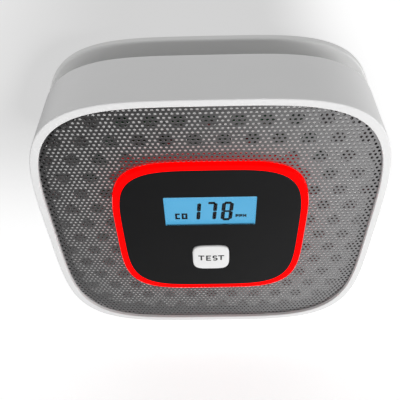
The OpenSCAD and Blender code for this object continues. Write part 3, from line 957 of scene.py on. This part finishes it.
LETTER_STROKES = {
    "C": [[(1, 1), (0, 1), (0, 0), (1, 0)]],
    "O": [[(0.5, 1), (0, 1), (0, 0), (1, 0), (1, 1), (0.5, 1)]],
    "P": [[(0, 0), (0, 1), (1, 1), (1, 0.45), (0, 0.45)]],
    "M": [[(0, 0), (0, 1), (0.5, 0.5), (1, 1), (1, 0)]],
    "T": [[(0, 1), (1, 1)], [(0.5, 1), (0.5, 0)]],
    "E": [[(1, 1), (0, 1), (0, 0), (1, 0)], [(0, 0.52), (0.9, 0.52)]],
    "S": [curve_s()],
}


def letter(shape, name, x, y, width, height, stroke, z, lift=None):
    """Letter made of strokes, whose lower left corner is at (x, y)."""
    inset = stroke / 2
    for line in LETTER_STROKES[name]:
        points = [(x + inset + u * (width - stroke), y + inset + v * (height - stroke))
                  for u, v in line]
        shape.stroke(points, stroke, z, INK_T, lift)


READING_RIGHT = 7.4
READING_BOTTOM = LCD.centre[1] - 5.95
GAS_MARKS = (0.9, 2.9, 0.7, ((-12.1, 2.0, "C"), (-9.85, 2.0, "O")))
UNIT_MARKS = (1.4, 1.6, 0.46, ((8.65, 1.1, "P"), (9.9, 1.1, "P"), (11.15, 1.3, "M")))


def display_segments():
    """The lit reading: a number, the gas it counts and its unit."""
    shape = Shape()
    z = LCD.z1 + 0.005
    for place, character in enumerate("178"):
        digit(shape, character, READING_RIGHT - (2 - place) * DIGIT_PITCH, READING_BOTTOM, z)
    for raised, height, stroke, marks in (GAS_MARKS, UNIT_MARKS):
        for x, width, name in marks:
            letter(shape, name, x, READING_BOTTOM + raised, width, height, stroke, z)
    piece("display_segments", shape, "segment_black", HEAD)


# ---------------- test button

CROWN = 0.25
CROWN_RINGS = 10
SHOULDER_R = 0.55
BUTTON_STEM_R = 2
BUTTON_FLANGE_T = 1


def crown_drop(x, y):
    """How far the button's crowned face lies below its middle at a point."""
    u = abs(x - BUTTON.centre[0]) / BUTTON_HALF
    v = abs(y - BUTTON.centre[1]) / BUTTON_HALF
    return -CROWN * (u ** SQUARENESS + v ** SQUARENESS) ** (2 / SQUARENESS)


def button_cap():
    """White cap with a crowned face, its retaining flange and its stem."""
    shape = Shape()
    top = BUTTON.z1
    centre, flange_z = BUTTON.centre, PANEL.z0
    edge_z = top - CROWN
    wall = rounded([(BUTTON_HALF - 1, flange_z, 0), (BUTTON_HALF, flange_z, 0),
                    (BUTTON_HALF, edge_z, SHOULDER_R), (0, edge_z, 0)], 6)[1:-1]
    crown_start = wall[-1][0]
    slope_top = edge_z + CROWN * (1 - (crown_start / BUTTON_HALF) ** 2)
    lift = slope_top - wall[-1][1]
    blended = [(half, z + lift * max(0, (z - edge_z) / SHOULDER_R + 1)) for half, z in wall]
    crown_halves = [crown_start * (1 - k / CROWN_RINGS) for k in range(1, CROWN_RINGS)]
    crown = [(half, top - CROWN * (half / BUTTON_HALF) ** 2) for half in crown_halves]
    flange_back = flange_z - BUTTON_FLANGE_T
    flange = [(BUTTON.half_w, flange_back), (BUTTON.half_w, flange_z)]
    loops = shape.sweep(lambda half: squircle(half, BUTTON_SIDES, centre), [*flange, *blended, *crown])
    shape.fan(loops[-1], shape.point(*centre, top))
    stem = shape.sweep(lambda radius: circle(radius, BUTTON_SIDES, centre),
                       [(BUTTON_STEM_R + 0.6, flange_back - 0.001), (BUTTON_STEM_R, flange_back - 0.6),
                        (BUTTON_STEM_R, BUTTON.z0 + 0.2), (BUTTON_STEM_R - 0.2, BUTTON.z0)])
    shape.fill(loops[0], [stem[0]])
    shape.fill(stem[-1])
    piece("button_cap", shape, "button_white", BUTTON_BODY, ["test_button"])


LETTER_H = 3.1
LETTER_STROKE = 0.56
LETTER_RISE = 0.2
TEST_LETTERS = ((-4.95, 2.8, "T"), (-1.8, 2.1, "E"), (0.55, 1.95, "S"), (2.35, 2.8, "T"))


def button_lettering():
    """The word on the test button, printed on its crowned face."""
    shape = Shape()
    z = BUTTON.z1 - 0.015
    y = BUTTON.centre[1] - LETTER_H / 2 + LETTER_RISE
    for x, width, name in TEST_LETTERS:
        letter(shape, name, x, y, width, LETTER_H, LETTER_STROKE, z, crown_drop)
    piece("button_lettering", shape, "lettering_grey", BUTTON_BODY)


# ---------------- battery door

DOOR_BACK_Y = -13.4
DOOR_HALF_W = 28.35
DOOR_FRONT_Z = 2.5
DOOR_SKIN_Z = 0.7
GROOVE = (5, 0.35)
GROOVE_COUNT = 4
GROOVE_START = 2.6
GROOVE_PITCH = 1.6
GROOVE_DEPTH = 0.4
HINGE_Y = -15.2
HINGE_Z = 1.6
HINGE_HALF = 21.7
HINGE_WEB = 0.7
BARREL_R = 0.95
PIN_R = 0.6
PIN_END = 25


def pocket_door():
    """Door over the cells, with grip grooves at its free end and a barrel with two pins."""
    shape = Shape()
    half_y = (DOOR.y1 - DOOR_BACK_Y) / 2
    centre = (0, (DOOR.y1 + DOOR_BACK_Y) / 2)
    edge = rounded([(3, DOOR.z0 + 0.05, 0), (0, DOOR_SKIN_Z, 0.3), (0, DOOR_FRONT_Z, 0.3),
                    (3, DOOR_FRONT_Z, 0)], 4)
    slab = shape.sweep(
        lambda inset: round_rect(DOOR_HALF_W - inset, half_y - inset, 1.0 - inset, 5, centre),
        edge[1:-1])
    grooves = []
    for i in range(GROOVE_COUNT):
        middle = (0, DOOR.y1 - GROOVE_START - GROOVE_PITCH * i)
        groove = shape.sweep(
            lambda extra: round_rect(GROOVE[0] + extra, GROOVE[1] + extra, 0.2 + extra, 3, middle),
            [(0.08, DOOR_SKIN_Z), (0, DOOR_SKIN_Z + 0.08), (-0.05, DOOR_SKIN_Z + GROOVE_DEPTH)])
        shape.fill(groove[-1])
        grooves.append(groove[0])
    shape.fill(slab[0], grooves)
    shape.fill(slab[-1])
    web_end = DOOR_BACK_Y + 0.3
    web_half, web_middle = (web_end - HINGE_Y) / 2, (0, (HINGE_Y + web_end) / 2)
    shape.solid(
        lambda inset: round_rect(HINGE_HALF - inset, web_half - inset, 0.11 - inset, 3, web_middle),
        [(0, HINGE_Z - HINGE_WEB, 0), (0, HINGE_Z + HINGE_WEB, 0.08)], 1, 3)
    half_pin = [(0, PIN_END), (PIN_R - 0.15, PIN_END), (PIN_R, PIN_END - 0.15), (PIN_R, HINGE_HALF),
                (BARREL_R - 0.1, HINGE_HALF), (BARREL_R, HINGE_HALF - 0.1)]
    shape.turned([*[(radius, -along) for radius, along in half_pin], *half_pin[::-1]],
                 (0, HINGE_Y, HINGE_Z), (1, 0, 0), 32)
    piece("pocket_door", shape, "casing_white", DOOR_BODY, ["battery_door"])


# ---------------- cells and contacts

CELL_R = (CELLS.z1 - CELLS.z0) / 2
CELL_Y = CELLS.y1 - CELL_R
CELL_Z = (CELLS.z0 + CELLS.z1) / 2
NUB_LEN = 1.2
CELL_LEN = 49.2
SLEEVE_T = 0.12
BAND_LEN = 12
CELL_SIDES = 56


def cell_parts(side):
    """Start point, direction and sides of one cell, from its flat end to its nub."""
    nub_end = side * CELLS.x1
    start = nub_end - side * (CELL_LEN + NUB_LEN)
    return (start, side * CELL_Y, CELL_Z), (side, 0, 0), CELL_SIDES


def cell_cans():
    """Bare steel ends of both cells: crimped flat end and stepped nub."""
    shape = Shape()
    core = CELL_R - SLEEVE_T
    end = CELL_LEN + NUB_LEN
    profile = [(0, 0.25), (4.6, 0.25), (4.9, 0.0), (core - 0.9, 0.0), (core - 0.4, 0.2), (core, 0.7),
               (core, CELL_LEN - 0.9), (core - 0.35, CELL_LEN - 0.3), (core - 1.0, CELL_LEN),
               (core - 1.5, CELL_LEN - 0.35), (3.6, CELL_LEN - 0.35), (3.2, CELL_LEN),
               (2.7, CELL_LEN + 0.1), (2.65, end - 0.25), (2.35, end), (0, end)]
    for side in (-1, 1):
        shape.turned(profile, *cell_parts(side))
    piece("cell_cans", shape, "nickel_plate", HEAD, ["battery_cells"])


def cell_wrap(name, material, start_at, end_at, lift):
    """Plastic wrap round both cells, turned over the edge where it meets an end."""
    shape = Shape()
    outer = CELL_R - lift
    inner = CELL_R - SLEEVE_T - 0.02
    profile = [(inner, start_at), (outer - 0.05, start_at), (outer, start_at + 0.08),
               (outer, end_at - 0.08), (outer - 0.05, end_at), (inner, end_at)]
    for side in (-1, 1):
        loops = shape.turned(profile, *cell_parts(side))
        shape.bridge(loops[-1], loops[0])
    piece(name, shape, material, HEAD)


SPRING_X = 28.45
SPRING_TURNS = 4
SPRING_STEPS = 28
SPRING_LEN = 5.7
SPRING_R = (4.4, 2.4)
WIRE_R = 0.3


def contact_springs():
    """Conical springs that press on the cells' flat ends."""
    shape = Shape()
    steps = SPRING_TURNS * SPRING_STEPS
    for side in (-1, 1):
        line = []
        for i in range(steps + 1):
            share = i / steps
            angle = 2 * math.pi * i / SPRING_STEPS
            reach = SPRING_R[0] + (SPRING_R[1] - SPRING_R[0]) * share
            line.append((-side * (SPRING_X - WIRE_R - SPRING_LEN * share),
                         side * CELL_Y + reach * math.cos(angle), CELL_Z + reach * math.sin(angle)))
        shape.tube(line, WIRE_R)
    piece("contact_springs", shape, "nickel_plate", HEAD, ["battery_springs"])


# ---------------- light, floor and camera

CAMERA_AT = (-0.13, -159.66, 148.25)
LOOK_AT = (-3.31, -34.8, 17.28)
CAMERA_ROLL = -2.02
LENS = 49.3
FLOOR_Z = -72
FLOOR_HALF = 4000
FLOOR_GLOW = 0.55
# Painted shadow of the alarm on the floor: its depth and extent in millimetres, with a darker painted
# contact shadow beside the alarm's left side.
SHADE_DEPTH = 0.36
SHADE_RIGHT_X = (40, 125)
SHADE_LEFT_X = (-230, -60)
SHADE_Y = (10, 130)
CONTACT_SHADOW_DEPTH = 0.35
CONTACT_SHADOW_X = (-150, -105)
CONTACT_SHADOW_NEAR_Y = (110, 150)
CONTACT_SHADOW_FAR_Y = (250, 180)
HORIZON = 0.22
ZENITH = 0.5
SKY_BEHIND = 0.9
BACKDROP = 0.85
MIRRORED_Z = (-0.85, -0.6)
MIRRORED_LEFT = (0.32, 0.03)
MIRRORED_RIGHT = (0.85, 0.5)
MIRRORED_CORNER = 0.27


def place_camera():
    data = bpy.data.cameras.new("photo_view")
    data.lens = LENS
    data.clip_start = 0.01
    data.clip_end = 20
    made = placed("photo_view", data)
    made.location = Vector(CAMERA_AT) * MM
    aim = (Vector(LOOK_AT) - Vector(CAMERA_AT)).to_track_quat("-Z", "Y")
    made.rotation_mode = "QUATERNION"
    made.rotation_quaternion = aim @ Quaternion((0, 0, 1), math.radians(CAMERA_ROLL))
    bpy.context.scene.camera = made


def soft_box(name, direction, distance, wide, high, light):
    """Area light facing the object; light is what a surface facing it receives, over pi."""
    data = bpy.data.lights.new(name, "AREA")
    data.shape = "RECTANGLE"
    data.size = wide
    data.size_y = high
    data.energy = light * (math.pi * distance) ** 2
    made = placed(name, data)
    towards = Vector(direction).normalized()
    made.location = towards * distance
    made.rotation_mode = "QUATERNION"
    made.rotation_quaternion = towards.to_track_quat("Z", "Y")


def ramp(tree, value, span, low, high, unit=1):
    """Smooth step of a value across a span, between two levels, numbers or sockets."""
    return map_range(tree, value, [end * unit for end in span], low, high, "SMOOTHSTEP")


def studio_world():
    """Pale sky, brighter behind the wall side.  Below the horizon it brightens to the right
    and downwards, with an extra patch to the right, for the steel mesh to mirror."""
    world = bpy.data.worlds.new("studio")
    world.use_nodes = True
    tree = world.node_tree
    tree.nodes.clear()
    way = add_node(tree, "ShaderNodeTexCoord", {}).outputs["Generated"]
    x, y, z = add_node(tree, "ShaderNodeSeparateXYZ", {0: way}).outputs
    left = ramp(tree, z, MIRRORED_Z, *MIRRORED_LEFT)
    right = ramp(tree, z, MIRRORED_Z, *MIRRORED_RIGHT)
    corner = ramp(tree, z, (-0.74, -0.62), 0, MIRRORED_CORNER)
    base, patch = ramp(tree, x, (-0.1, 0.35), left, right), ramp(tree, x, (0.1, 0.3), 0, corner)
    below = add_node(tree, "ShaderNodeMath", {0: base, 1: patch}, operation="ADD").outputs[0]
    overhead = ramp(tree, z, (0, 0.7), HORIZON, ZENITH)
    above = ramp(tree, y, (0.2, 0.9), overhead, SKY_BEHIND)
    level = ramp(tree, z, (-0.3, 0), below, above)
    camera_ray = add_node(tree, "ShaderNodeLightPath", {}).outputs["Is Camera Ray"]
    seen = ramp(tree, camera_ray, (0, 1), level, BACKDROP)
    background = add_node(tree, "ShaderNodeBackground", {"Strength": seen, "Color": (1, 1, 1, 1)})
    add_node(tree, "ShaderNodeOutputWorld", {"Surface": background.outputs[0]})
    bpy.context.scene.world = world


def pale_floor():
    """Plain floor below the alarm, lit a little from within so that it reads as pale paper.
    Its glow is weaker behind the alarm and to its left: a painted shadow of the alarm, set by place."""
    shape = Shape()
    w = FLOOR_HALF
    shape.prism([(-w, w), (w, w), (w, -w), (-w, -w)], FLOOR_Z - 2, FLOOR_Z)
    mesh = bpy.data.meshes.new("floor")
    mesh.from_pydata([Vector(point) * MM for point in shape.vertices], [], shape.faces)
    f = Finish("floor_paper")
    f.tone(300, 2, (0.80, 0.80, 0.80), (0.84, 0.84, 0.84))
    f.set("Roughness", 0.9)
    f.set("Specular IOR Level", 0.0)
    x, y = f.part("X"), f.part("Y")
    # Painted shadow: the floor's glow is darkened behind the alarm and to its left, and the contact
    # term is a painted contact shadow.
    across = ramp(f.tree, x, SHADE_RIGHT_X, 1, 0, MM)
    fading = ramp(f.tree, x, SHADE_LEFT_X, 0.5, 1, MM)
    behind = ramp(f.tree, y, SHADE_Y, 0, across, MM)
    beside = ramp(f.tree, x, CONTACT_SHADOW_X, 0, CONTACT_SHADOW_DEPTH, MM)
    before = ramp(f.tree, y, CONTACT_SHADOW_FAR_Y, 0, beside, MM)
    contact = ramp(f.tree, y, CONTACT_SHADOW_NEAR_Y, 0, before, MM)
    total = f.add("ShaderNodeMath", {0: fading, 1: contact}, operation="ADD").outputs[0]
    shade = f.add("ShaderNodeMath", {0: behind, 1: total}, operation="MULTIPLY").outputs[0]
    glow = f.remap(shade, FLOOR_GLOW, FLOOR_GLOW - SHADE_DEPTH, 0, 1)
    f.link("Emission Color", f.add("ShaderNodeCombineColor", {0: glow, 1: glow, 2: glow}).outputs[0])
    f.set("Emission Strength", 1.0)
    mesh.materials.append(f.material)
    floor = placed("floor", mesh)
    floor.visible_glossy = False


# ---------------- assembly

place_camera()

front_shell()
wall_plate()
mesh_sheet()
glow_ring()
centre_panel()
display_window()
display_glass()
display_segments()
button_cap()
button_lettering()
pocket_door()
cell_cans()
cell_wrap("cell_sleeves", "cell_sleeve", 0.3, CELL_LEN - BAND_LEN, 0.02)
cell_wrap("cell_bands", "cell_band", CELL_LEN - BAND_LEN + 0.02, CELL_LEN - 0.5, 0)
contact_springs()

CARRIED_OVER = {
    "rear_housing": "casing_white",
    "vent_plate": "vent_white",
    "lcd_backlight": "diffuser_white",
    "lcd_frame": "holder_ivory",
    "lcd_rubber_connector": "striped_elastomer",
    "test_switch": "moulded_black",
    "switch_plunger": "plunger_brown",
    "main_board": "board_green",
    "ring_leds": "lamp_red",
    "control_chips": "chip_black",
    "board_capacitors": "capacitor_can",
    "step_up_coil": "ferrite",
    "sounder_case": "moulded_black",
    "sounder_disc": "brass_disc",
    "gas_sensor": "sensor_steel",
    "sensor_filter_cap": "filter_white",
    "sensor_pins": "gold_plate",
    "case_screws": "zinc_plate",
    "board_screws": "zinc_plate",
    "battery_plates": "nickel_plate",
    "battery_tabs": "nickel_plate",
    "door_foam_strip": "foam_dark",
    "mesh_gasket": "gasket_black",
}
for node_name, look in CARRIED_OVER.items():
    finish_node(node_name, look)

studio_world()
soft_box("key", (0.74, -0.67, -0.03), 0.7, 0.5, 0.08, 0.4)
soft_box("fill", (-0.45, -0.89, 0.06), 0.7, 0.5, 0.16, 0.1)
pale_floor()
bpy.context.scene.view_settings.view_transform = "Standard"
